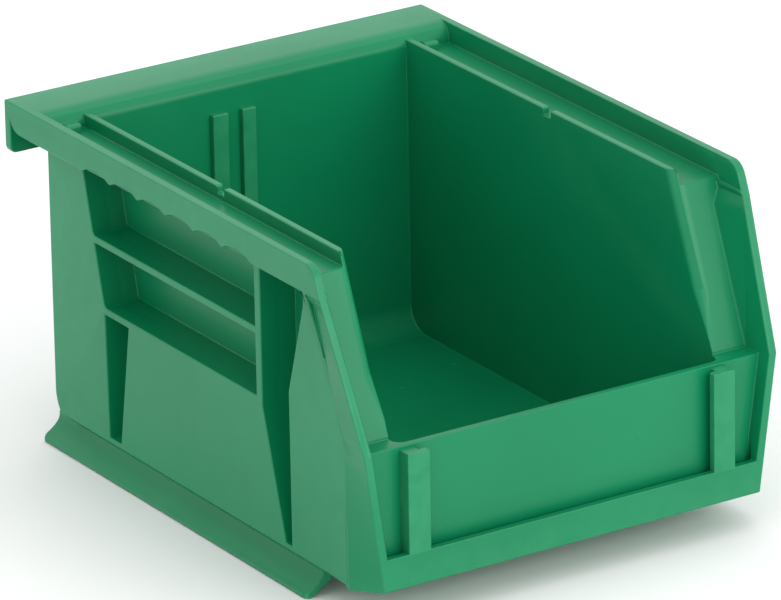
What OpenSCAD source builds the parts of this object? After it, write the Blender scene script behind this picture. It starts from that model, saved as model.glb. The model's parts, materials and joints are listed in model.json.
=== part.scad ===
// Open-front stacking bin with a rear hanger hook.
// Front faces -Y, the hook is at +Y, +Z is up and z = 0 is the level of the foot tips.
// Every member is drawn for the right-hand side and mirrored for the left.

/* [Overall] */
// Width over the two rim skirts
bin_w = 105; // [100:0.5:110]
// Length from the hook lip to the front face
bin_l = 136; // [132:0.5:142]
// Height from the foot tips to the rim
bin_h = 75; // [73:0.5:80]
// Thickness of the moulded walls
wall = 1.6; // [1.4:0.1:1.8]

/* [Tub] */
// Clear width inside the tub
tub_w = 79; // [76:0.5:82]
// Height of the inside floor
floor_z = 6.9; // [6.6:0.1:7.4]
// Inside radius where the floor meets the back wall
back_fillet = 6; // [4:0.5:7]
// Height of the front wall
front_z = 37.4; // [34:0.1:38]

/* [Rim and hook] */
// Level of the stacking ledge
ledge_z = 70.5; // [70:0.1:71]
// Height of the lip along the ledge
lip_h = 2.9; // [1.5:0.1:3.2]
// Depth of the hook channel
hook_gap = 10.3; // [9:0.1:12]
// Drop of the hook lip below the rim
hook_drop = 11.7; // [10:0.1:14]
// Thickness of the hook lip
hook_lip = 2.2; // [1.8:0.1:2.6]
// Number of scallops along the skirt
scallops = 6; // [4:1:7]

/* [Side pockets] */
// Width over the outer side panels
skin_w = 99.2; // [98:0.2:100]
// Top level of the upper rib
upper_rib_z = 53.1; // [50:0.1:56]
// Top level of the lower rib
lower_rib_z = 38; // [36:0.1:40]
// Width of the thin upright rib
thin_rib = 2.2; // [1.8:0.1:3]

/* [Label holder] */
// Distance between the outer edges of the label posts
label_w = 80; // [76:0.5:82]
// Width of each label post
post_w = 5.3; // [4:0.1:6]
// Depth of the recess behind the front frame
front_recess = 3.3; // [3:0.1:3.6]

/* [Feet] */
// Width over the foot tips
foot_w = 102.6; // [101:0.1:102.6]
// Length of each foot
foot_l = 105; // [95:1:106]

/* [Hidden] */

$fn = 96;
GREEN = "#2e9a68";
// big enough to cut past any surface
past = 1;

half_w = bin_w / 2;
y_rear = bin_l / 2;
y_front = -bin_l / 2;

// tub
tub_in = tub_w / 2;
tub_out = tub_in + wall;
floor_under = floor_z - wall;
y_back_out = y_rear - hook_lip - hook_gap;
y_back_in = y_back_out - wall;
y_fillet = y_back_in - back_fillet;
z_fillet = floor_z + back_fillet;
lip_z = ledge_z + lip_h;

// hanger
hook_t = 1.8;
hook_r = 3.6;
hook_under = bin_h - hook_t;
hook_root_z = bin_h - hook_r;

// outer side panels
skin_out = skin_w / 2;
skin_in = skin_out - wall;
skirt_t = 2;
skirt_in = half_w - skirt_t;
ledge_under = ledge_z - wall;
// the skirt reaches a little below the ledge
skirt_z = ledge_under - 0.5;
crease_z = 8.4;
sill_in = 44.2;
// how far the sill's flat underside reaches before it slopes up to the crease
sill_flat = 2.6;
sill_edge = 0.5;
foot_t = 2;
// the sill rises at the front, ahead of this position
sill_rise_y = -48.4;
crease_front = 10.6;

// sloping front edge of the side, from the rim down to the knee
rim_back = 15;
y_rim = y_front + rim_back;
// the knee is a little above the front wall
knee_z = front_z + 0.6;
slope = rim_back / (bin_h - knee_z);
rim_r = 4;
// the end web stands back from the sloping edge
web_back = 7.75;
function edge_y(z) = y_rim - (bin_h - z) * slope;
function web_y(z) = edge_y(z) + web_back;
y_web_low = web_y(knee_z);

// front wall, toe and label holder
y_face = y_front + front_recess;
y_face_in = y_face + wall;
toe_start = -50;
toe_z = 9.8;
toe_top = 10.1;
strip_top = 15;
// a channel behind the strip's lip holds the label's lower edge
channel_z = strip_top - 2.8;
lip_t = 1.8;
lip_over = 1.7;
label_top = 36.6;
// half widths of the front frame at the knee and at the bottom
knee_half = 50.4;
toe_half = 46.2;
frame_t = 2;
// the cheek stands this far out from the front panel where they meet
cheek_step = 0.3;

// pocket boundaries along the side
post_top_y = 41.6;
post_mid_y = 33.9;
post_low_y = 33.2;
// the thin rib's front face is in line with the top of the mid panel's front edge
thin_front = -28.3;
thin_rear = thin_front + thin_rib;
mid_top = lower_rib_z - wall;
mid_rear_top = 24.3;
mid_rear_low = 28.7;
mid_front_low = -36.2;
// the front groove's front edge leans back above its bend
groove_mid_y = -38.5;
groove_top = [-46.1, ledge_under];
groove_bend = [groove_mid_y, 43];
groove_low = [groove_mid_y, crease_z];
ramp_z = 46;
ramp_out = 46.4;

// points of an arc in the plane of an outline, centre c, from angle a to angle b
function arc(c, r, a, b, n = 12) =
    [for (i = [0:n]) c + r * [cos(a + (b - a) * i / n), sin(a + (b - a) * i / n)]];

// y of the rear post's front edge at height z: slanted above the lower rib, upright below
function post_y(z) =
    z > lower_rib_z
    ? post_mid_y + (post_top_y - post_mid_y) * (z - lower_rib_z) / (ledge_under - lower_rib_z)
    : post_low_y + (post_mid_y - post_low_y) * (z - crease_z) / (lower_rib_z - crease_z);

// an outline drawn in Y and Z, given thickness between two X planes
module across(x0, x1) {
    translate([x0, 0, 0]) rotate([90, 0, 90]) linear_extrude(x1 - x0) children();
}

// an outline drawn in X and Z, given depth between two Y planes
module along(y0, y1) {
    translate([0, y1, 0]) rotate([90, 0, 0]) linear_extrude(y1 - y0) children();
}

module left_side() {
    mirror([1, 0, 0]) children();
}

// ---- tub ----

module floor_panel() {
    outer = back_fillet + wall;
    c = [y_fillet, z_fillet];
    color(GREEN) across(-sill_in, sill_in)
        polygon(concat([[toe_start, floor_z]],
                       arc(c, back_fillet, -90, 0),
                       arc(c, outer, 0, -90),
                       [[toe_start, floor_under], [y_front, toe_z], [y_front, toe_top],
                        [y_face_in, toe_top]]));
}

module back_wall() {
    color(GREEN) along(y_back_in, y_back_out)
        polygon([[-skin_in, z_fillet], [skin_in, z_fillet], [skin_in, ledge_under],
                 [skirt_in, ledge_under], [skirt_in, hook_root_z], [-skirt_in, hook_root_z],
                 [-skirt_in, ledge_under], [-skin_in, ledge_under]]);
}

module right_inner_wall() {
    lip_r = 2.5;
    notch_y = 1.3;
    notch_w = 2.6;
    // height left of the lip in the notch
    notch_z = 1.2;
    y_top = web_y(lip_z) + wall;
    outline = concat([[y_back_in, lip_z]],
                     arc([y_top + lip_r, lip_z - lip_r], lip_r, 90, 180 - atan(slope), 6),
                     [[web_y(ledge_z) + wall, ledge_z], [y_web_low + wall, knee_z],
                      [y_web_low + wall, front_z], [y_face_in, front_z], [y_face_in, toe_top],
                      [toe_start, floor_z]],
                     arc([y_fillet, z_fillet], back_fillet, -90, 0));
    color(GREEN) difference() {
        across(tub_in, tub_out) polygon(outline);
        translate([tub_in - past, notch_y - notch_w / 2, ledge_z + notch_z])
            cube([wall + 2 * past, notch_w, lip_h]);
    }
}
module left_inner_wall() left_side() right_inner_wall();

// ---- front ----

module front_wall() {
    color(GREEN) difference() {
        translate([-knee_half, y_face, toe_top])
            cube([2 * knee_half, wall, front_z - toe_top]);
        both_cheeks();
        outside_cheeks();
    }
}

module front_base_strip() {
    color(GREEN) difference() {
        translate([-toe_half - past, y_front, toe_top])
            cube([2 * (toe_half + past), front_recess, strip_top - toe_top]);
        translate([-half_w, y_front + lip_t, channel_z])
            cube([bin_w, front_recess, strip_top]);
        both_cheeks();
        outside_cheeks();
    }
}

module right_label_post() {
    outer = label_w / 2;
    inner = outer - post_w;
    body = inner + lip_over;
    color(GREEN) union() {
        translate([0, 0, strip_top]) linear_extrude(label_top - strip_top)
            polygon([[outer, y_face], [outer, y_front], [inner, y_front], [inner, y_front + lip_t],
                     [body, y_front + lip_t], [body, y_face]]);
        // the post's body goes down into the channel
        translate([body, y_front + lip_t, channel_z])
            cube([outer - body, front_recess - lip_t, strip_top - channel_z]);
    }
}
module left_label_post() left_side() right_label_post();

// an upright strip on the back wall, from x to x + w; a divider slides between the two strips
module divider_guide(x, w) {
    guide_t = 1.4;
    guide_top = 66.8;
    color(GREEN) translate([x, y_back_in - guide_t, z_fillet])
        cube([w, guide_t, guide_top - z_fillet]);
}
module left_divider_guide() divider_guide(-10.4, 3.9);
module right_divider_guide() divider_guide(-3, 3.4);

// ---- hanger ----

module hanger_top() {
    c = [y_back_in + hook_r, hook_root_z];
    color(GREEN) union() {
        across(-skirt_in, skirt_in)
            polygon(concat(arc(c, hook_r, 180, 90), [[y_rear, bin_h], [y_rear, hook_under]],
                           arc(c, hook_r - wall, 90, 180)));
        for (s = [0, 1]) mirror([s, 0, 0])
            translate([skirt_in, y_back_out, hook_under])
                cube([skirt_t, y_rear - y_back_out, hook_t]);
    }
}

module hanger_lip() {
    lip_bottom = bin_h - hook_drop;
    color(GREEN) translate([-half_w, y_rear - hook_lip, lip_bottom])
        cube([bin_w, hook_lip, hook_under - lip_bottom]);
}

// ---- rim ----

module right_stacking_ledge() {
    color(GREEN) difference() {
        across(tub_out, skirt_in)
            polygon([[y_back_in, ledge_z], [y_back_in, ledge_under],
                     [web_y(ledge_under) + wall, ledge_under], [web_y(ledge_z) + wall, ledge_z]]);
        stop_block(past);
    }
}
module left_stacking_ledge() left_side() right_stacking_ledge();

module right_rim_skirt() {
    web_r = 4.3;
    scallop_y0 = 36.5;
    scallop_l = 66;
    pitch = scallop_l / scallops;
    rise = 1.4;
    scallop_r = (pow(pitch / 2, 2) + pow(rise, 2)) / (2 * rise);
    y_lip = y_rear - hook_lip;
    turn = atan(slope);
    // the rounded corner at the front of the rim touches the rim and the sloping edge
    back_off = rim_r * tan((90 - turn) / 2);
    outline = concat([[y_back_out, bin_h]],
                     arc([y_rim + back_off, bin_h - rim_r], rim_r, 90, 180 - turn, 8),
                     [[edge_y(skirt_z), skirt_z]],
                     arc([y_lip - web_r, skirt_z + web_r], web_r, -90, 0),
                     [[y_lip, hook_under], [y_back_out, hook_under]]);
    color(GREEN) difference() {
        across(skirt_in, half_w) polygon(outline);
        for (i = [0:scallops - 1])
            translate([skirt_in - past, scallop_y0 - pitch * (i + 0.5), skirt_z + rise - scallop_r])
                rotate([0, 90, 0]) cylinder(r = scallop_r, h = skirt_t + 2 * past);
    }
}
module left_rim_skirt() left_side() right_rim_skirt();

// the stop against the back wall, set a little into the ledge, and reaching past it by extra
module stop_block(extra = 0) {
    stop = [3.4, 2.2, 1.8];
    from_tub = 2;
    seat = 0.4;
    translate([tub_out + from_tub, y_back_in - stop.y, ledge_z - seat])
        cube(stop + [0, extra, seat]);
}
module right_ledge_stop() color(GREEN) stop_block();
module left_ledge_stop() left_side() right_ledge_stop();

// ---- side pockets ----

// the wall that turns inward from the edge of a panel to the tub
module turn_in(a, b, side) {
    polygon([a, b, b + [side * wall, 0], a + [side * wall, 0]]);
}

module right_rear_post() {
    c = [y_fillet, z_fillet];
    outer = y_back_out - y_fillet;
    // angle at which the rounded lower corner meets the crease
    low = -asin((z_fillet - crease_z) / outer);
    color(GREEN) across(skin_in, skin_out)
        polygon(concat(arc(c, outer, low, 0), [[y_back_out, ledge_under],
                       [post_y(ledge_under), ledge_under], [post_y(lower_rib_z), lower_rib_z],
                       [post_low_y, crease_z]]));
}
module left_rear_post() left_side() right_rear_post();

module right_rear_post_wall() {
    color(GREEN) across(tub_out, skin_in) union() {
        turn_in([post_y(ledge_under), ledge_under], [post_y(lower_rib_z), lower_rib_z], 1);
        turn_in([post_y(lower_rib_z), lower_rib_z], [post_low_y, crease_z], 1);
    }
}
module left_rear_post_wall() left_side() right_rear_post_wall();

module side_rib(z) {
    color(GREEN) across(tub_out, skin_out)
        polygon([[post_y(z), z], [thin_rear, z], [thin_rear, z - wall], [post_y(z - wall), z - wall]]);
}
module right_upper_rib() side_rib(upper_rib_z);
module left_upper_rib() left_side() right_upper_rib();
module right_lower_rib() side_rib(lower_rib_z);
module left_lower_rib() left_side() right_lower_rib();

module right_thin_rib() {
    low = lower_rib_z - wall;
    color(GREEN) translate([tub_out, thin_front, low])
        cube([skin_out - tub_out, thin_rib, ledge_under - low]);
}
module left_thin_rib() left_side() right_thin_rib();

module right_mid_panel() {
    color(GREEN) across(skin_in, skin_out)
        polygon([[mid_rear_top, mid_top], [mid_rear_low, crease_z],
                 [mid_front_low, crease_z], [thin_front, mid_top]]);
}
module left_mid_panel() left_side() right_mid_panel();

module right_mid_panel_rear_wall() {
    color(GREEN) across(tub_out, skin_in)
        turn_in([mid_rear_top, mid_top], [mid_rear_low, crease_z], -1);
}
module left_mid_panel_rear_wall() left_side() right_mid_panel_rear_wall();

module right_mid_panel_front_wall() {
    color(GREEN) across(tub_out, skin_in)
        turn_in([thin_front, mid_top], [mid_front_low, crease_z], 1);
}
module left_mid_panel_front_wall() left_side() right_mid_panel_front_wall();

module right_front_panel() {
    color(GREEN) across(skin_in, skin_out)
        polygon([groove_top, groove_bend, groove_low, [sill_rise_y, crease_z],
                 [y_web_low, crease_front], [y_web_low, knee_z],
                 [web_y(ledge_under), ledge_under]]);
}
module left_front_panel() left_side() right_front_panel();

module right_front_panel_wall() {
    color(GREEN) across(tub_out, skin_in) union() {
        turn_in(groove_top, groove_bend, -1);
        turn_in(groove_bend, groove_low, -1);
    }
}
module left_front_panel_wall() left_side() right_front_panel_wall();

// the bottom of a groove, which comes outward as it goes down
module groove_ramp(outline) {
    color(GREEN) intersection() {
        across(tub_out, ramp_out) polygon(outline);
        along(-y_rear, y_rear)
            polygon([[tub_out, crease_z], [ramp_out, crease_z], [tub_out, ramp_z]]);
    }
}
module right_rear_groove_ramp() {
    groove_ramp([[post_y(mid_top), mid_top], [mid_rear_top, mid_top],
                 [mid_rear_low, crease_z], [post_low_y, crease_z]]);
}
module left_rear_groove_ramp() left_side() right_rear_groove_ramp();
module right_front_groove_ramp() {
    groove_ramp([[thin_front, groove_bend.y], groove_bend, groove_low,
                 [mid_front_low, crease_z], [thin_front, mid_top]]);
}
module left_front_groove_ramp() left_side() right_front_groove_ramp();

// ---- front corners ----

module right_front_end_web() {
    shelf_under = front_z - wall;
    color(GREEN) across(tub_out, skin_in)
        polygon([[web_y(ledge_z), ledge_z], [web_y(ledge_z) + wall, ledge_z],
                 [y_web_low + wall, knee_z], [y_web_low + wall, shelf_under],
                 [y_face_in, shelf_under], [y_face_in, front_z],
                 [y_web_low, front_z], [y_web_low, knee_z]]);
}
module left_front_end_web() left_side() right_front_end_web();

function under_z(y) = y > toe_start
    ? floor_under
    : floor_under + (toe_z - floor_under) * (toe_start - y) / (toe_start - y_front);

// corners of the cheek's upright part: rear top, rear bottom, front bottom, front top
cheek_low = [[skin_out + cheek_step, y_web_low, knee_z], [skin_out, y_web_low, under_z(y_web_low)],
             [toe_half, y_front, toe_z], [knee_half, y_front, knee_z]];

// a plate with four outer corners, given thickness inward along X
module slanted_plate(p, t) {
    inner = [for (q = p) q - [t, 0, 0]];
    polyhedron(points = concat(p, inner),
               faces = [[0, 1, 2], [0, 2, 3], [4, 6, 5], [4, 7, 6],
                        [0, 4, 5], [0, 5, 1], [1, 5, 6], [1, 6, 2],
                        [2, 6, 7], [2, 7, 3], [3, 7, 4], [3, 4, 0]]);
}

module cheek_plates() {
    // the sloping part, from under the rim skirt to the knee
    slanted_plate([[skin_out + cheek_step, web_y(skirt_z), skirt_z],
                   [skin_out + cheek_step, y_web_low, knee_z],
                   [knee_half, y_front, knee_z], [half_w, edge_y(skirt_z), skirt_z]], frame_t);
    // the upright part, from the knee down to the toe
    slanted_plate(cheek_low, frame_t);
}
module right_front_cheek() {
    color(GREEN) cheek_plates();
}
module left_front_cheek() left_side() right_front_cheek();

module both_cheeks() {
    for (s = [0, 1]) mirror([s, 0, 0]) cheek_plates();
}

// everything outside the cheeks at the front, for trimming
module outside_cheeks() {
    reach = 20;
    for (s = [0, 1]) mirror([s, 0, 0])
        slanted_plate([for (q = cheek_low) q + [reach, 0, 0]], reach);
}

// ---- base ----

module right_side_sill() {
    c = [y_fillet, z_fillet];
    outer = y_back_out - y_fillet;
    low = -asin((z_fillet - crease_z) / outer);
    side_view = concat(arc(c, outer, -90, low, 6),
                       [[sill_rise_y, crease_z], [y_web_low, crease_front],
                        [y_web_low, under_z(y_web_low)], [toe_start, floor_under]]);
    color(GREEN) intersection() {
        across(sill_in, skin_out) polygon(side_view);
        along(-y_rear, y_rear)
            polygon([[sill_in, floor_under], [sill_in + sill_flat, floor_under],
                     [skin_out, crease_z - sill_edge], [skin_out, z_fillet], [sill_in, z_fillet]]);
    }
}
module left_side_sill() left_side() right_side_sill();

module right_foot_flange() {
    tip = foot_w / 2;
    face = sill_in + sill_flat;
    root = face - foot_t;
    flare_z = 3.6;
    // the tip is blunt, and flat underneath
    tip_h = 1;
    tip_chamfer = 0.4;
    tip_flat = 0.7;
    foot_front = -46;
    color(GREEN) along(foot_front, foot_front + foot_l)
        polygon([[root, floor_under], [face, floor_under], [face, flare_z], [tip, tip_h],
                 [tip, tip_chamfer], [tip - tip_chamfer, 0],
                 [tip - tip_chamfer - tip_flat, 0], [root, flare_z - 0.6]]);
}
module left_foot_flange() left_side() right_foot_flange();

floor_panel();
back_wall();
left_inner_wall();
right_inner_wall();
front_wall();
front_base_strip();
left_label_post();
right_label_post();
left_divider_guide();
right_divider_guide();
hanger_top();
hanger_lip();
left_stacking_ledge();
right_stacking_ledge();
left_rim_skirt();
right_rim_skirt();
left_ledge_stop();
right_ledge_stop();
left_rear_post();
right_rear_post();
left_rear_post_wall();
right_rear_post_wall();
left_mid_panel();
right_mid_panel();
left_mid_panel_rear_wall();
right_mid_panel_rear_wall();
left_mid_panel_front_wall();
right_mid_panel_front_wall();
left_front_panel();
right_front_panel();
left_front_panel_wall();
right_front_panel_wall();
left_upper_rib();
right_upper_rib();
left_lower_rib();
right_lower_rib();
left_thin_rib();
right_thin_rib();
left_rear_groove_ramp();
right_rear_groove_ramp();
left_front_groove_ramp();
right_front_groove_ramp();
left_front_end_web();
right_front_end_web();
left_front_cheek();
right_front_cheek();
left_side_sill();
right_side_sill();
left_foot_flange();
right_foot_flange();
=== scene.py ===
"""Looks of the open-front stacking bin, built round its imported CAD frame.

The bin is one glossy polypropylene moulding. Its shell, side pockets, label posts, divider guides,
ledge stops and feet are rebuilt here as rounded closed meshes in millimetres, from the CAD nodes' own
boxes, and then scaled to metres. Every right-hand piece is mirrored for the left.
"""
import json
import math

import bmesh
import bpy
from mathutils import Matrix, Vector

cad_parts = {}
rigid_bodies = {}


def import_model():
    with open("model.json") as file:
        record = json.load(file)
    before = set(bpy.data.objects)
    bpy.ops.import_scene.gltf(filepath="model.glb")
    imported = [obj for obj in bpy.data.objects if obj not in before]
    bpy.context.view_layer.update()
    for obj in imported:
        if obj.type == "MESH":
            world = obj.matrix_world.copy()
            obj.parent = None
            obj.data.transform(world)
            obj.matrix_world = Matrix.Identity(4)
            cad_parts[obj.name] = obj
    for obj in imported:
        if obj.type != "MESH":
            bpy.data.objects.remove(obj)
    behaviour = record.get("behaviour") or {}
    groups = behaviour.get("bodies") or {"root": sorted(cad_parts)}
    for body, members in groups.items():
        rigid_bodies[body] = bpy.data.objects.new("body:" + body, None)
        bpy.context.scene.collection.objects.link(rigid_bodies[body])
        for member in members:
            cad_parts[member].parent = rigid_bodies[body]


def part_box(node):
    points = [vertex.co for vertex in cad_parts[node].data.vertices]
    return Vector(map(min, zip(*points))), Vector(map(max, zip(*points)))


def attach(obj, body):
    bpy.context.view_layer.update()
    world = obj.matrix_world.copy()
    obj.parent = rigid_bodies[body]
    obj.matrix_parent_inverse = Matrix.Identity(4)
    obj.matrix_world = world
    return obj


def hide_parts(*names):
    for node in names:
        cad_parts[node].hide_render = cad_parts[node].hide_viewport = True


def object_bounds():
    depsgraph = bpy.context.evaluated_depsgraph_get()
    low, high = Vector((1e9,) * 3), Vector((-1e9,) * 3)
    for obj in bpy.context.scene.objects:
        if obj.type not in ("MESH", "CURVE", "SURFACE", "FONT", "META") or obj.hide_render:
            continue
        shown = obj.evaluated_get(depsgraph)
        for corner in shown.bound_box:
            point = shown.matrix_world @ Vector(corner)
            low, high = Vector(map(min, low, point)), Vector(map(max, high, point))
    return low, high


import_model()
cad_low, cad_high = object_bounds()

MM = 0.001


# ---- sizes, read from the frame in millimetres ----

def box_mm(node):
    low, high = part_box(node)
    return low / MM, high / MM


skirt_lo, skirt_hi = box_mm("right_rim_skirt")
lip_lo, lip_hi = box_mm("hanger_lip")
side_lo, side_hi = box_mm("right_inner_wall")
back_lo, back_hi = box_mm("back_wall")
floor_lo, _ = box_mm("floor_panel")
front_lo, front_hi = box_mm("front_wall")
strip_lo, strip_hi = box_mm("front_base_strip")
ledge_lo, ledge_hi = box_mm("right_stacking_ledge")
panel_lo, panel_hi = box_mm("right_front_panel")
mid_lo, mid_hi = box_mm("right_mid_panel")
rear_lo, _ = box_mm("right_rear_post")
_, web_hi = box_mm("right_front_end_web")
_, upper_hi = box_mm("right_upper_rib")
lower_lo, lower_hi = box_mm("right_lower_rib")
thin_lo, thin_hi = box_mm("right_thin_rib")
ramp_lo, _ = box_mm("right_front_groove_ramp")
rear_ramp_lo, rear_ramp_hi = box_mm("right_rear_groove_ramp")
sill_lo, _ = box_mm("right_side_sill")
cheek_lo, _ = box_mm("right_front_cheek")
foot_lo, foot_hi = box_mm("right_foot_flange")

WALL = back_hi.y - back_lo.y
INSIDE = WALL / 2                      # how far one solid reaches into the next
PAST = 5                               # how far a cutter reaches past what it cuts
FLOOR_UNDER = floor_lo.z
FLOOR_TOP = side_lo.z
BACK_IN = back_lo.y
BACK_OUT = back_hi.y
FILLET_Z = back_lo.z
FILLET = FILLET_Z - FLOOR_TOP
FILLET_Y = BACK_IN - FILLET
TOE_START = -50.0
TOE_TOP = front_lo.z
KNEE_Z = front_hi.z + 0.6
WEB_LOW_Y = panel_lo.y
FRONT_Y = cheek_lo.y
SLOPE = (web_hi.y - WALL - WEB_LOW_Y) / (ledge_hi.z - KNEE_Z)
RIM_Z = skirt_hi.z
SKIN = panel_hi.x


def edge_y(z):
    """The sloping front edge of the side at height z."""
    return FRONT_Y + (z - KNEE_Z) * SLOPE


def web_y(z):
    """The front face of the end web, which stands back from the edge."""
    return WEB_LOW_Y + (z - KNEE_Z) * SLOPE


def post_y(z):
    """The rear post's front edge: slanted above the lower rib, nearly upright below it."""
    knee = (rear_ramp_hi.y, lower_hi.z)
    lean, height = 7.7, 30.9
    top = (upper_hi.y + (ledge_lo.z - upper_hi.z) * lean / height, ledge_lo.z)
    foot = (rear_lo.y, panel_lo.z)
    a, b = (knee, top) if z > lower_hi.z else (foot, knee)
    return a[0] + (b[0] - a[0]) * (z - a[1]) / (b[1] - a[1])


def under_z(y):
    """The underside of the floor, which rises towards the front."""
    rise = (cheek_lo.z - FLOOR_UNDER) / (TOE_START - FRONT_Y)
    return FLOOR_UNDER + max(0.0, TOE_START - y) * rise


# ---- outlines ----

def arc(cx, cy, r, start, end, steps=6):
    angles = [math.radians(start + (end - start) * i / steps) for i in range(steps + 1)]
    return [(cx + r * math.cos(a), cy + r * math.sin(a)) for a in angles]


def rounded(points, radii, steps=5):
    """The outline with each corner rounded to its own radius, where 0 keeps it sharp."""
    made = []
    for i, corner in enumerate(points):
        radius = radii[i] if isinstance(radii, (list, tuple)) else radii
        here = Vector(corner)
        a = (Vector(points[i - 1]) - here).normalized()
        b = (Vector(points[(i + 1) % len(points)]) - here).normalized()
        half = a.angle(b) / 2
        if radius == 0 or half > math.radians(89):
            made.append(tuple(here))
            continue
        centre = here + (a + b).normalized() * (radius / math.sin(half))
        first = here + a * (radius / math.tan(half)) - centre
        last = here + b * (radius / math.tan(half)) - centre
        turn = first.angle_signed(last)
        for k in range(steps + 1):
            spoke = Matrix.Rotation(-turn * k / steps, 2) @ first
            made.append(tuple(centre + spoke))
    return made


def inset(points, distance):
    """The outline moved inward by the same distance along each edge."""
    area = sum(p[0] * q[1] - q[0] * p[1] for p, q in zip(points, points[1:] + points[:1]))
    side = 1 if area > 0 else -1
    made = []
    for i, corner in enumerate(points):
        here = Vector(corner)
        a = (here - Vector(points[i - 1])).normalized()
        b = (Vector(points[(i + 1) % len(points)]) - here).normalized()
        na = Vector((-a.y, a.x)) * side
        nb = Vector((-b.y, b.x)) * side
        made.append(tuple(here + (na + nb) * (distance / (1 + na.dot(nb)))))
    return made


# ---- solids ----

def finished(bm):
    """The mesh of a closed bmesh, with its normals facing out."""
    bmesh.ops.recalc_face_normals(bm, faces=bm.faces)
    mesh = bpy.data.meshes.new("solid")
    bm.to_mesh(mesh)
    bm.free()
    return mesh


def open_tube(rings):
    """A bmesh of the walls through rings of points that match one to one, and its loops of vertices."""
    bm = bmesh.new()
    loops = [[bm.verts.new(p) for p in ring] for ring in rings]
    for a, b in zip(loops, loops[1:]):
        for i in range(len(a)):
            bm.faces.new((a[i - 1], a[i], b[i], b[i - 1]))
    return bm, loops


def solid(rings):
    """A closed mesh through rings of points that match one to one, with flat ends."""
    bm, loops = open_tube(rings)
    bm.faces.new(loops[0])
    bm.faces.new(loops[-1])
    return finished(bm)


def across(outline, x0, x1):
    """An outline in Y and Z, given thickness along X."""
    return solid([[(x, y, z) for y, z in outline] for x in (x0, x1)])


def along(outline, y0, y1):
    """An outline in X and Z, given depth along Y."""
    return solid([[(x, y, z) for x, z in outline] for y in (y0, y1)])


def upright(outline, z0, z1):
    """An outline in X and Y, given height."""
    return solid([[(x, y, z) for x, y in outline] for z in (z0, z1)])


def mirrored(mesh):
    made = mesh.copy()
    made.transform(Matrix.Scale(-1, 4, (1, 0, 0)))
    made.flip_normals()
    return made


def both(*meshes):
    return [m for mesh in meshes for m in (mesh, mirrored(mesh))]


def boolean(mesh, others, operation):
    """The exact union or difference of a mesh with a list of others, with flat faces merged."""
    scene = bpy.context.scene
    group = bpy.data.collections.new("operands")
    scene.collection.children.link(group)
    for other in others:
        group.objects.link(bpy.data.objects.new("operand", other))
    target = bpy.data.objects.new("target", mesh)
    scene.collection.objects.link(target)
    modifier = target.modifiers.new("boolean", "BOOLEAN")
    modifier.operand_type = "COLLECTION"
    modifier.collection = group
    modifier.operation = operation
    modifier.solver = "EXACT"
    modifier.use_self = operation == "UNION"
    made = evaluated(target)
    for o in list(group.objects) + [target]:
        bpy.data.objects.remove(o)
    bpy.data.collections.remove(group)
    tidy_faces(made)
    return made


def evaluated(o):
    """The object's mesh with its modifiers applied."""
    bpy.context.view_layer.update()
    depsgraph = bpy.context.evaluated_depsgraph_get()
    return bpy.data.meshes.new_from_object(o.evaluated_get(depsgraph))


TOUCHING = 0.002                       # points this close are one point
FLAT = math.radians(0.4)               # faces that turn less than this are one face
SAME = 1e-4                            # heights this close are the same height


def tidy_faces(mesh):
    bm = bmesh.new()
    bm.from_mesh(mesh)
    bmesh.ops.remove_doubles(bm, verts=bm.verts, dist=TOUCHING)
    bmesh.ops.dissolve_degenerate(bm, edges=bm.edges, dist=TOUCHING)
    bmesh.ops.dissolve_limit(bm, angle_limit=FLAT, verts=bm.verts, edges=bm.edges)
    bm.to_mesh(mesh)
    bm.free()


BEVEL_ABOVE = math.radians(27)
FACET = 3.0                            # faces narrower than this belong to a curve and shade smoothly


def softened(mesh, width, segments=2):
    """The mesh with every real edge rounded. Curves shade smoothly and wide faces stay flat."""
    bm = bmesh.new()
    bm.from_mesh(mesh)
    for face in bm.faces:
        face.smooth = True
    for edge in bm.edges:
        narrow = min(face.calc_area() for face in edge.link_faces) / edge.calc_length()
        edge.smooth = narrow < FACET or edge.calc_face_angle(0) > BEVEL_ABOVE
    bm.to_mesh(mesh)
    bm.free()
    o = bpy.data.objects.new("softened", mesh)
    bpy.context.scene.collection.objects.link(o)
    bevel = o.modifiers.new("edges", "BEVEL")
    bevel.width = width
    bevel.segments = segments
    bevel.limit_method = "ANGLE"
    bevel.angle_limit = BEVEL_ABOVE
    bevel.use_clamp_overlap = False
    weighted = o.modifiers.new("flat faces", "WEIGHTED_NORMAL")
    weighted.weight = 90
    weighted.keep_sharp = True
    made = evaluated(o)
    bpy.data.objects.remove(o)
    return made


def piece(name, mesh, nodes, material):
    """A finished piece in metres that stands for CAD nodes and rides on the bin's one body."""
    mesh.transform(Matrix.Scale(MM, 4))
    for vertex in mesh.vertices:
        vertex.co.z = min(vertex.co.z, cad_high.z)   # a rounded corner can rise a hair above the rim
    mesh.name = name
    mesh.materials.clear()
    mesh.materials.append(material)
    o = bpy.data.objects.new(name, mesh)
    bpy.context.scene.collection.objects.link(o)
    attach(o, "root")
    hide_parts(*nodes)
    return o


# ---- the shell: tub, front frame, hanger and rim ----

EDGE = 0.32                            # rounding of a moulded edge
WEB_ROUND = 2.6                        # the tub wall turns into the end web with this radius
LIP_ROUND = 2.5
TOE_X = 46.2                           # the cheeks draw in to this half width at the toe
STRIP_LIP = 1.8                        # thickness of the base strip's lip, in front of a label
UNDERCUT_X = 46.8                      # half width of the base where the feet begin
RIM_ROUND = 4.0


def floor_mesh():
    outline = [(TOE_START, FLOOR_TOP)]
    outline += arc(FILLET_Y, FILLET_Z, FILLET, -90, 0, 9)
    outline += arc(FILLET_Y, FILLET_Z, FILLET + WALL, 0, -90, 9)
    outline += [(TOE_START, FLOOR_UNDER), (front_lo.y, under_z(front_lo.y)),
                (front_lo.y, TOE_TOP), (front_hi.y, TOE_TOP)]
    return across(outline, -sill_lo.x, sill_lo.x)


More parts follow.
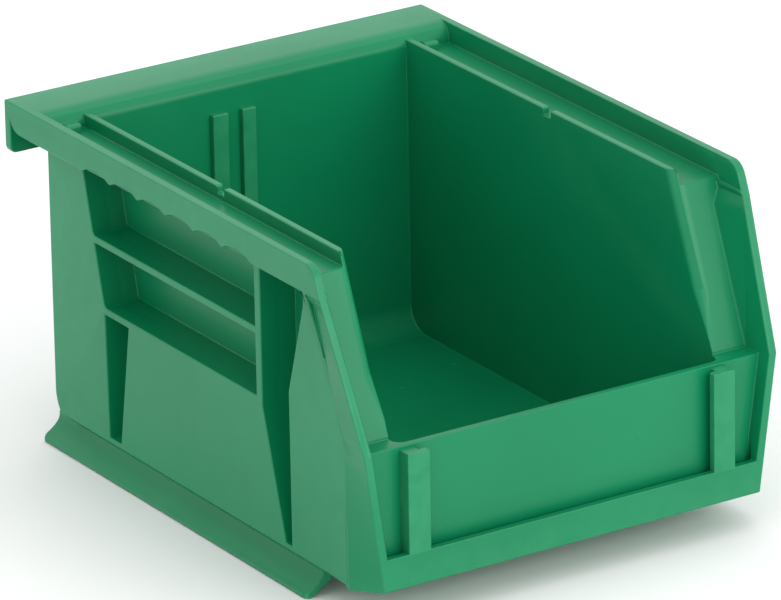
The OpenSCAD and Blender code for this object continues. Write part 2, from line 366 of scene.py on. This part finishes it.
def back_wall_mesh():
    x = back_hi.x + INSIDE
    narrow = SKIN - WALL
    top = back_hi.z
    wide_z = skirt_lo.z
    outline = [(-narrow, FILLET_Z), (narrow, FILLET_Z), (narrow, wide_z), (x, wide_z),
               (x, top), (-x, top), (-x, wide_z), (-narrow, wide_z)]
    return along(outline, BACK_IN, BACK_OUT)


def side_wall_mesh():
    """The tub's side wall with its lip, whose front end is rounded and which has one notch."""
    notch = (-1.3, 1.3, ledge_hi.z + 1.2)
    top = side_hi.z
    notch_r = 0.5
    crest = rounded([(BACK_IN + INSIDE, top), (notch[1], top), (notch[1], notch[2]),
                     (notch[0], notch[2]), (notch[0], top), (web_y(top), top),
                     (WEB_LOW_Y, KNEE_Z)], [0, notch_r, 0, 0, notch_r, LIP_ROUND, 0])
    low = [(WEB_LOW_Y, front_hi.z), (front_hi.y - INSIDE, front_hi.z),
           (front_hi.y - INSIDE, TOE_TOP - INSIDE), (TOE_START, FLOOR_TOP - INSIDE)]
    corner = arc(FILLET_Y, FILLET_Z, FILLET + INSIDE, -90, 0, 9)
    return across(crest + low + corner, side_lo.x, side_hi.x)


def end_web_mesh():
    x0 = side_lo.x
    rings = []
    for x1, z in ((SKIN - INSIDE, KNEE_Z), (skirt_lo.x + INSIDE, ledge_hi.z)):
        y = web_y(z)
        rings.append([(x0, y, z), (x1, y, z), (x1, y + WALL, z), (x0, y + WALL, z)])
    return solid(rings)


def web_foot_mesh():
    """The short upright part of the web and the shelf that joins it to the front wall."""
    x0, x1 = side_lo.x, SKIN - INSIDE
    shelf = front_hi.z - WALL
    outline = [(front_hi.y - INSIDE, shelf), (WEB_LOW_Y + WALL, shelf), (WEB_LOW_Y + WALL, KNEE_Z),
               (WEB_LOW_Y, KNEE_Z), (WEB_LOW_Y, front_hi.z), (front_hi.y - INSIDE, front_hi.z)]
    return across(outline, x0, x1)


def web_corner_cutter():
    """What is taken off the square corner between the tub wall and the end web."""
    x0, out = side_lo.x, 1.0
    sharp = 0.001
    point, full = KNEE_Z + 2, KNEE_Z + 12
    levels = ((sharp, web_y(point), point), (WEB_ROUND, web_y(full), full),
              (WEB_ROUND, web_y(RIM_Z), RIM_Z))
    rings = []
    for r, y, z in levels:
        curve = arc(x0 + r, y + r, r, 270, 180, 6)
        outline = [(x0 - out, y - out), (x0 + r, y - out)] + curve + [(x0 - out, y + r)]
        rings.append([(x, y, z) for x, y in outline])
    return solid(rings)


def inside_corner_mesh():
    """The fillet in plan between the front wall and the tub's side wall."""
    r = 2.2
    x, y = side_lo.x, front_hi.y
    curve = arc(x - r, y + r, r, 0, -90, 6)
    outline = [(x + INSIDE, y - INSIDE), (x + INSIDE, y + r)] + curve + [(x - r, y - INSIDE)]
    return upright(outline, TOE_TOP - INSIDE, front_hi.z)


def cheek_middle(y):
    """Half-way through a cheek's thickness at its foot."""
    return SKIN - 1 - (SKIN - TOE_X) * (WEB_LOW_Y - y) / (WEB_LOW_Y - FRONT_Y)


def toe_mesh():
    """The floor's front end, which widens to meet the cheeks."""
    near, far = front_lo.y, WEB_LOW_Y + INSIDE
    corners = [(-cheek_middle(near), near), (cheek_middle(near), near), (SKIN - 1, far), (1 - SKIN, far)]
    return solid([[(x, y, under_z(y) + rise) for x, y in corners] for rise in (0, WALL)])


def front_wall_mesh():
    x = SKIN - 0.5
    low = cheek_middle((front_lo.y + front_hi.y) / 2)
    outline = [(-low, TOE_TOP - INSIDE), (low, TOE_TOP - INSIDE), (x, front_hi.z), (-x, front_hi.z)]
    return along(outline, front_lo.y, front_hi.y)


def base_strip_mesh():
    """The strip along the toe, with the channel behind its lip that holds a label's lower edge."""
    lip = FRONT_Y + STRIP_LIP
    channel_depth = 2.8
    channel = strip_hi.z - channel_depth
    rear = front_lo.y + INSIDE
    outline = [(FRONT_Y, under_z(FRONT_Y)), (rear, under_z(rear)), (rear, channel), (lip, channel),
               (lip, strip_hi.z), (FRONT_Y, strip_hi.z)]
    deeper = 0.5
    return solid([[(side * (cheek_middle(y) + deeper), y, z) for y, z in outline] for side in (-1, 1)])


def ledge_mesh():
    low, top = skirt_lo.z, ledge_hi.z
    outline = [(BACK_IN + INSIDE, top), (BACK_IN + INSIDE, low),
               (web_y(low) + INSIDE, low), (web_y(top) + INSIDE, top)]
    return across(outline, side_hi.x - INSIDE, skirt_lo.x + INSIDE)


def hanger_mesh():
    """The curve from the back wall into the hook's flat top."""
    hook_r = RIM_Z - back_hi.z
    top_t = 1.8
    cy = BACK_IN + hook_r
    root = back_hi.z - 2
    outline = [(BACK_IN, root)] + arc(cy, back_hi.z, hook_r, 180, 90, 4)
    outline += [(lip_hi.y - INSIDE, RIM_Z), (lip_hi.y - INSIDE, RIM_Z - top_t)]
    outline += arc(cy, back_hi.z, hook_r - WALL, 90, 180, 4) + [(BACK_OUT, root)]
    return across(outline, -skirt_lo.x - INSIDE, skirt_lo.x + INSIDE)


def hook_lip_mesh():
    x = lip_hi.x
    z0, z1 = lip_lo.z, RIM_Z
    outline = rounded([(-x, z0), (x, z0), (x, z1), (-x, z1)], [1.6, 1.6, 0, 0])
    return along(outline, lip_lo.y, lip_hi.y)


def skirt_mesh():
    """The rim skirt: rounded at the front, scalloped below, and curved up into the hook behind."""
    first, length, count, rise = 36.5, 66.0, 6, 1.4
    pitch = length / count
    r = ((pitch / 2) ** 2 + rise ** 2) / (2 * rise)
    half = math.degrees(math.asin(pitch / 2 / r))
    z0 = skirt_lo.z
    turn = math.degrees(math.atan(SLOPE))
    back_off = RIM_ROUND * math.tan(math.radians((90 - turn) / 2))
    outline = arc(edge_y(RIM_Z) + back_off, RIM_Z - RIM_ROUND, RIM_ROUND, 90, 180 - turn, 7)
    outline += [(edge_y(z0), z0)]
    for i in reversed(range(count)):
        middle = first - pitch * (i + 0.5)
        outline += arc(middle, z0 + rise - r, r, 90 + half, 90 - half, 6)[0 if i == count - 1 else 1:]
    end_r = 4.3
    outline += arc(lip_lo.y + 0.5 - end_r, z0 + end_r, end_r, -90, 0, 7)
    outline += [(lip_lo.y + 0.5, RIM_Z)]
    return across(outline, skirt_lo.x, skirt_hi.x)


def plate(grid, thickness, cuts):
    """A closed plate from rows of outer points, with its inner face moved inward along X.

    The outer face is cut finer between the rows, so that its slight twist shades as one curve.
    """
    rows, columns = len(grid), len(grid[0])
    bm = bmesh.new()
    outer = [[bm.verts.new(p) for p in row] for row in grid]
    inner = [[bm.verts.new((p[0] - thickness, p[1], p[2])) for p in row] for row in grid]
    for r in range(rows - 1):
        for c in range(columns - 1):
            for layer in (outer, inner):
                bm.faces.new((layer[r][c], layer[r][c + 1], layer[r + 1][c + 1], layer[r + 1][c]))
    rim = [(r, 0) for r in range(rows)] + [(rows - 1, c) for c in range(1, columns)]
    rim += [(r, columns - 1) for r in reversed(range(rows - 1))]
    rim += [(0, c) for c in reversed(range(1, columns - 1))]
    for (r, c), (s, d) in zip(rim, rim[1:] + rim[:1]):
        bm.faces.new((outer[r][c], outer[s][d], inner[s][d], inner[r][c]))
    uprights = [bm.edges.get((outer[r][c], outer[r + 1][c]))
                for r in range(rows - 1) for c in range(columns)]
    bmesh.ops.subdivide_edges(bm, edges=uprights, cuts=cuts, use_grid_fill=True)
    bmesh.ops.triangulate(bm, faces=bm.faces)
    return finished(bm)


def cheek_mesh():
    """The side of the front frame. It stands out from the side panel and joins the skirt softly."""
    rim_x = skirt_hi.x
    knee_x = 50.4
    sunk = SKIN - 0.3
    step = SKIN + 0.3
    tuck = 2.0
    blend = 3.0
    seam = skirt_lo.z
    top = seam + 1.0
    low = seam - blend
    rear_x, web_x, hidden_x = rim_x - 1.0, rim_x - 0.8, rim_x - 0.5
    low_x = knee_x + (rim_x - knee_x) * (low - KNEE_Z) / (seam - KNEE_Z)
    grid = [
        [(rear_x, web_y(top) + tuck, top), (web_x, web_y(top), top), (hidden_x, edge_y(top), top)],
        [(rear_x, web_y(seam) + tuck, seam), (web_x, web_y(seam), seam), (rim_x, edge_y(seam), seam)],
        [(sunk, web_y(low) + tuck, low), (step, web_y(low), low), (low_x, edge_y(low), low)],
        [(sunk, WEB_LOW_Y + tuck, KNEE_Z), (step, WEB_LOW_Y, KNEE_Z), (knee_x, FRONT_Y, KNEE_Z)],
        [(sunk, WEB_LOW_Y + tuck, under_z(WEB_LOW_Y + tuck)), (SKIN, WEB_LOW_Y, under_z(WEB_LOW_Y)),
         (TOE_X, FRONT_Y, under_z(FRONT_Y))],
    ]
    thickness, cuts = 2.0, 7
    return plate(grid, thickness, cuts)


def gate_mark(x, y, z, normal, radius=1.3, height=0.2):
    """A low round scar left where the plastic was let in."""
    steps = 14
    rings = []
    axis = Vector(normal)
    side = axis.orthogonal().normalized()
    other = axis.cross(side)
    for share, rise in ((1.0, -0.25), (0.8, 0.15), (0.5, 0.75), (0.25, 1.0)):
        ring = []
        for i in range(steps):
            a = 2 * math.pi * i / steps
            spoke = (side * math.cos(a) + other * math.sin(a)) * radius * share
            ring.append(tuple(Vector((x, y, z)) + spoke + axis * height * rise))
        rings.append(ring)
    return solid(rings)


def shell_mesh():
    parts = [floor_mesh(), back_wall_mesh(), front_wall_mesh(), base_strip_mesh(), toe_mesh(),
             hanger_mesh(), hook_lip_mesh()]
    parts += both(side_wall_mesh(), end_web_mesh(), web_foot_mesh(), inside_corner_mesh(), ledge_mesh(),
                  skirt_mesh(), cheek_mesh())
    parts += [gate_mark(18, front_lo.y, 26, (0, -1, 0)), gate_mark(19, 26, FLOOR_TOP, (0, 0, 1)),
              gate_mark(35.5, 31, FLOOR_TOP, (0, 0, 1), 0.9)]
    whole = boolean(parts[0], parts[1:], "UNION")
    return boolean(whole, both(web_corner_cutter()), "DIFFERENCE")


# ---- side pockets ----

POCKET_FLOOR = side_hi.x + 0.15        # the pockets' bottoms lie just outside the tub wall
DRAFT = 0.3                            # how much narrower a pocket is at its bottom
RAMP_TOP = 46.0                        # a groove's bottom comes outward below this height
RAMP_LOW_X = 46.4                      # how far out it is at the groove's foot
PANEL_TOP_Y = -46.1                    # the front panel's rear edge at the skirt


def groove_bottom(z):
    """How far out a groove's bottom is at height z."""
    rise = RAMP_LOW_X - POCKET_FLOOR
    return POCKET_FLOOR + rise * max(0.0, RAMP_TOP - z) / (RAMP_TOP - ramp_lo.z)


def pocket(points, radii, ramped):
    """The rings of one pocket's cutter, which narrows from the parting line to the bottom."""
    bottom = groove_bottom if ramped else (lambda z: POCKET_FLOOR)
    parting, clear = 0.45, 1.4         # shares of the depth from the pocket's bottom to the skin
    rings = []
    for share, narrower in ((0.0, DRAFT), (parting, 0.0), (clear, 0.0)):
        outline = rounded(inset(points, narrower), radii)
        if ramped:
            outline = with_level(outline, RAMP_TOP)
        rings.append([(bottom(z) + (SKIN - bottom(z)) * share, y, z) for y, z in outline])
    return rings


def with_level(outline, level):
    """The outline with a point added wherever it crosses the level."""
    made = []
    for (y0, z0), (y1, z1) in zip(outline, outline[1:] + outline[:1]):
        made.append((y0, z0))
        if (z0 - level) * (z1 - level) < 0:
            made.append((y0 + (y1 - y0) * (level - z0) / (z1 - z0), level))
    return made


def split_solid(rings, level):
    """Like solid, but each flat end is split at a height, so that a bent end stays made of flat faces."""
    bm, loops = open_tube(rings)
    for loop in (loops[0], loops[-1]):
        i, j = [k for k, vertex in enumerate(loop) if abs(vertex.co.z - level) < SAME]
        bm.faces.new(loop[i:j + 1])
        bm.faces.new(loop[j:] + loop[:i + 1])
    return finished(bm)


def side_block_mesh():
    """The side before its pockets are cut, sunk a little inside the shell's back and underside."""
    sunk = 0.05
    top = skirt_lo.z + 1.2
    outline = [(BACK_OUT - sunk, top)]
    outline += arc(FILLET_Y, FILLET_Z, FILLET + WALL - sunk, 0, -90, 10)
    outline += [(TOE_START, FLOOR_UNDER + sunk), (WEB_LOW_Y + INSIDE, under_z(WEB_LOW_Y + INSIDE) + sunk),
                (WEB_LOW_Y + INSIDE, KNEE_Z), (web_y(top) + INSIDE, top)]
    return across(outline, side_hi.x - INSIDE / 2, SKIN)


def undercut_cutter():
    """What is taken off below the side so that it leans in towards the foot."""
    x0, x1 = UNDERCUT_X, SKIN
    crease = panel_lo.z - 0.5
    beyond, below = x1 + 3, FLOOR_UNDER - PAST
    outline = [(x0, FLOOR_UNDER), (x1, crease), (beyond, crease), (beyond, below), (x0, below)]
    return along(outline, WEB_LOW_Y - PAST, BACK_OUT + PAST)


def belly_cutter():
    """The space under the tub that the floor panel fills."""
    x0 = side_hi.x - PAST
    x1 = sill_lo.x - 0.2
    z0, z1 = FLOOR_UNDER - PAST, panel_lo.z
    outline = [(x0, z0), (x1, z0), (x1, z1), (x0, z1)]
    return along(outline, WEB_LOW_Y - PAST, FILLET_Y - 2)


def pockets_mesh():
    """The ribbed side: a block with its pockets and tapered grooves cut out."""
    top = skirt_lo.z
    rear, front = thin_hi.y, thin_lo.y
    upper, lower = upper_hi.z, lower_hi.z
    shelf = lower_lo.z
    low = panel_lo.z + 0.5
    small, middling, big = 1.4, 3.0, 4.0
    bend = 43
    cutters = [
        solid(pocket([(post_y(upper), upper), (rear, upper), (rear, top), (post_y(top), top)],
                     [small, 0, 0, 0], False)),
        solid(pocket([(post_y(lower), lower), (rear, lower), (rear, upper - WALL),
                      (post_y(upper - WALL), upper - WALL)], [small, 0, 0, 0], False)),
        solid(pocket([(rear_lo.y, low), (post_y(shelf), shelf), (rear_ramp_lo.y, shelf),
                      (mid_hi.y, low)], [0, 0, 0, 0], True)),
        split_solid(pocket([(front, top), (front, shelf), (mid_lo.y, low), (ramp_lo.y, low),
                            (ramp_lo.y, bend), (PANEL_TOP_Y, top)],
                           [0, 0, 0, 0, middling, big], True), RAMP_TOP),
    ]
    block = side_block_mesh()
    cutters += [undercut_cutter(), belly_cutter()]
    return boolean(block, cutters, "DIFFERENCE")


# ---- small pieces ----

def label_post_mesh():
    """A post whose inner flange holds a label's side edge in a slot."""
    x1, x0 = 40.0, 34.7
    lip_y = FRONT_Y + STRIP_LIP
    flange = 1.7
    slot_x = x0 + flange
    face = FRONT_Y + 0.03
    foot, top = strip_lo.z + 0.6, 36.6
    outline = [(x1, front_lo.y + INSIDE), (x1, face), (x0, face), (x0, lip_y), (slot_x, lip_y),
               (slot_x, front_lo.y + INSIDE)]
    return upright(outline, foot, top)


def guide_mesh(node):
    low, high = box_mm(node)
    outline = [(low.x, low.y), (high.x, low.y), (high.x, high.y + INSIDE), (low.x, high.y + INSIDE)]
    return upright(outline, low.z - 1, high.z)


def ledge_stop_mesh():
    low, high = box_mm("right_ledge_stop")
    outline = rounded([(low.y, low.z - INSIDE), (high.y + INSIDE, low.z - INSIDE), (high.y + INSIDE, high.z),
                       (low.y, high.z)], [0, 0, 0, 0.8])
    return across(outline, low.x, high.x)


def foot_mesh():
    """The flared foot: a web under the sill that curves out to a blunt tip with rounded ends."""
    root, tip = foot_lo.x, foot_hi.x
    face = UNDERCUT_X
    top = FLOOR_UNDER + INSIDE
    start, bend, end = Vector((face, FLOOR_UNDER)), Vector((face, 3.2)), Vector((tip, 1.0))
    steps = 8
    flare = []
    for i in range(steps + 1):
        t = i / steps
        flare.append(tuple(start * (1 - t) ** 2 + bend * 2 * t * (1 - t) + end * t ** 2))
    outline = [(root, top), (face, top)] + flare
    outline += [(tip, 0.45), (tip - 0.45, 0), (tip - 1.1, 0), (root, 3.0)]
    body = along(outline, foot_lo.y, foot_hi.y)
    far = 10
    corner = 1.6
    ends = rounded([(root - far, foot_lo.y), (tip, foot_lo.y), (tip, foot_hi.y), (root - far, foot_hi.y)],
                   [0, corner, corner, 0])
    return boolean(body, [upright(ends, -1, 8)], "INTERSECT")


# ---- material ----

def node_in(tree, kind, **values):
    made = tree.nodes.new(kind)
    for name, value in values.items():
        if name in made.inputs:
            made.inputs[name].default_value = value
        else:
            setattr(made, name, value)
    return made


def polypropylene():
    """Glossy moulded green polypropylene: slight flow marks, a painted highlight along convex edges and a
    fine uneven skin.
    """
    material = bpy.data.materials.new("green_polypropylene")
    material.use_nodes = True
    tree = material.node_tree
    link = tree.links.new
    shader = tree.nodes["Principled BSDF"]
    place = tree.nodes.new("ShaderNodeTexCoord")

    flow = node_in(tree, "ShaderNodeTexNoise", Scale=22.0, Detail=3.0, Roughness=0.5)
    link(place.outputs["Object"], flow.inputs["Vector"])
    body = node_in(tree, "ShaderNodeValToRGB")
    body.color_ramp.elements[0].position = 0.3
    body.color_ramp.elements[0].color = (0.002, 0.196, 0.078, 1)
    body.color_ramp.elements[1].position = 0.7
    body.color_ramp.elements[1].color = (0.003, 0.226, 0.092, 1)
    link(flow.outputs["Fac"], body.inputs["Fac"])

    # Painted highlight: a paler green is laid on convex edges (found by pointiness) and broken into patches
    # by fine noise. It stands in for the light the edges catch.
    geometry = tree.nodes.new("ShaderNodeNewGeometry")
    edge_highlight_mask = node_in(tree, "ShaderNodeMapRange")
    edge_highlight_mask.inputs["From Min"].default_value = 0.52
    edge_highlight_mask.inputs["From Max"].default_value = 0.62
    link(geometry.outputs["Pointiness"], edge_highlight_mask.inputs["Value"])
    edge_highlight_patches = node_in(tree, "ShaderNodeTexNoise", Scale=260.0, Detail=4.0)
    link(place.outputs["Object"], edge_highlight_patches.inputs["Vector"])
    patchy_edge_highlight = node_in(tree, "ShaderNodeMath", operation="MULTIPLY")
    link(edge_highlight_mask.outputs["Result"], patchy_edge_highlight.inputs[0])
    link(edge_highlight_patches.outputs["Fac"], patchy_edge_highlight.inputs[1])
    painted_edge_highlight = node_in(tree, "ShaderNodeMix", data_type="RGBA")
    link(patchy_edge_highlight.outputs["Value"], painted_edge_highlight.inputs["Factor"])
    link(body.outputs["Color"], painted_edge_highlight.inputs[6])
    # The colour of the painted edge highlight: a paler green.
    painted_edge_highlight.inputs[7].default_value = (0.06, 0.36, 0.18, 1)
    link(painted_edge_highlight.outputs[2], shader.inputs["Base Color"])

    cloudy = node_in(tree, "ShaderNodeTexNoise", Scale=60.0, Detail=5.0, Roughness=0.6)
    link(place.outputs["Object"], cloudy.inputs["Vector"])
    gloss = node_in(tree, "ShaderNodeMapRange")
    gloss.inputs["To Min"].default_value = 0.26
    gloss.inputs["To Max"].default_value = 0.40
    link(cloudy.outputs["Fac"], gloss.inputs["Value"])
    link(gloss.outputs["Result"], shader.inputs["Roughness"])

    skin = node_in(tree, "ShaderNodeTexNoise", Scale=900.0, Detail=2.0)
    link(place.outputs["Object"], skin.inputs["Vector"])
    sink = node_in(tree, "ShaderNodeTexNoise", Scale=45.0, Detail=1.0)
    link(place.outputs["Object"], sink.inputs["Vector"])
    fine = node_in(tree, "ShaderNodeBump", Strength=0.05, Distance=0.0002)
    link(skin.outputs["Fac"], fine.inputs["Height"])
    wavy = node_in(tree, "ShaderNodeBump", Strength=0.25, Distance=0.0006)
    link(sink.outputs["Fac"], wavy.inputs["Height"])
    link(fine.outputs["Normal"], wavy.inputs["Normal"])
    link(wavy.outputs["Normal"], shader.inputs["Normal"])
    shader.inputs["IOR"].default_value = 1.49
    shader.inputs["Specular IOR Level"].default_value = 0.3
    return material


def plain(name, colour, roughness):
    material = bpy.data.materials.new(name)
    material.use_nodes = True
    shader = material.node_tree.nodes["Principled BSDF"]
    shader.inputs["Base Color"].default_value = colour
    shader.inputs["Roughness"].default_value = roughness
    return material


# ---- the pieces ----

green = polypropylene()


def pair(name, mesh, width, nodes):
    """The right-hand piece and its mirror image on the left."""
    for side, half in (("right_", mesh), ("left_", mirrored(mesh))):
        piece(side + name, softened(half, width), [side + n for n in nodes], green)


sides = ["inner_wall", "front_end_web", "stacking_ledge", "rim_skirt", "front_cheek"]
piece("bin_shell", softened(shell_mesh(), EDGE),
      ["floor_panel", "back_wall", "front_wall", "front_base_strip", "hanger_top", "hanger_lip"]
      + [f"{side}_{n}" for side in ("left", "right") for n in sides], green)
pair("side_pockets", pockets_mesh(), EDGE,
     ["rear_post", "rear_post_wall", "mid_panel", "mid_panel_rear_wall", "mid_panel_front_wall",
      "front_panel", "front_panel_wall", "upper_rib", "lower_rib", "thin_rib", "rear_groove_ramp",
      "front_groove_ramp", "side_sill"])
pair("label_post", label_post_mesh(), 0.25, ["label_post"])
pair("ledge_stop", ledge_stop_mesh(), 0.3, ["ledge_stop"])
pair("foot_flange", foot_mesh(), 0.25, ["foot_flange"])
for node in ("left_divider_guide", "right_divider_guide"):
    piece(node + "_rib", softened(guide_mesh(node), 0.3), [node], green)


# ---- stage, light and camera ----

def stage_floor():
    size = 6.0
    outline = [(-size, -size), (size, -size), (size, size), (-size, size)]
    mesh = upright(outline, -0.01, 0.0)
    mesh.materials.append(plain("paper", (0.93, 0.93, 0.93, 1), 0.9))
    o = bpy.data.objects.new("floor", mesh)
    bpy.context.scene.collection.objects.link(o)


def soft_light(name, place, size, power, aim=(0, 0, 0.03)):
    data = bpy.data.lights.new(name, "AREA")
    data.shape = "RECTANGLE"
    data.size, data.size_y = size
    data.energy = power
    o = bpy.data.objects.new(name, data)
    o.location = place
    o.rotation_euler = (Vector(aim) - Vector(place)).to_track_quat("-Z", "Y").to_euler()
    bpy.context.scene.collection.objects.link(o)


def surroundings(strength):
    world = bpy.data.worlds.new("studio")
    world.use_nodes = True
    background = world.node_tree.nodes["Background"]
    background.inputs["Color"].default_value = (1, 1, 1, 1)
    background.inputs["Strength"].default_value = strength
    bpy.context.scene.world = world


def set_camera(azimuth, elevation, roll, distance, lens, aside, above, shift):
    """A camera that looks at the middle of the bin from a long way off, through a long lens."""
    a, e, turn = (math.radians(v) for v in (azimuth, elevation, roll))
    back = Vector((math.sin(a) * math.cos(e), -math.cos(a) * math.cos(e), math.sin(e)))
    level = Vector((math.cos(a), math.sin(a), 0))
    up = back.cross(level)
    right = level * math.cos(turn) + up * math.sin(turn)
    top = up * math.cos(turn) - level * math.sin(turn)
    middle = Vector((0, 0, (cad_high.z + cad_low.z) / 2))
    place = middle - right * aside - top * above + back * distance
    camera = bpy.data.objects.new("camera", bpy.data.cameras.new("camera"))
    camera.matrix_world = Matrix((
        (right.x, top.x, back.x, place.x), (right.y, top.y, back.y, place.y),
        (right.z, top.z, back.z, place.z), (0, 0, 0, 1)))
    camera.data.sensor_width = 36
    camera.data.lens = lens
    camera.data.shift_x, camera.data.shift_y = shift
    camera.data.clip_end = 20
    bpy.context.scene.collection.objects.link(camera)
    bpy.context.scene.camera = camera


stage_floor()
surroundings(1.08)
soft_light("key", (0.3, -1.3, 0.55), (0.9, 0.7), 6.5)
soft_light("top", (0.2, 0.1, 1.3), (0.9, 0.9), 2)
set_camera(-32.5, 21.24, -1.04, 1.7017, 375.4, 0.00079, -0.00132, (0.00384, 0.00243))
bpy.context.scene.view_settings.view_transform = "Standard"
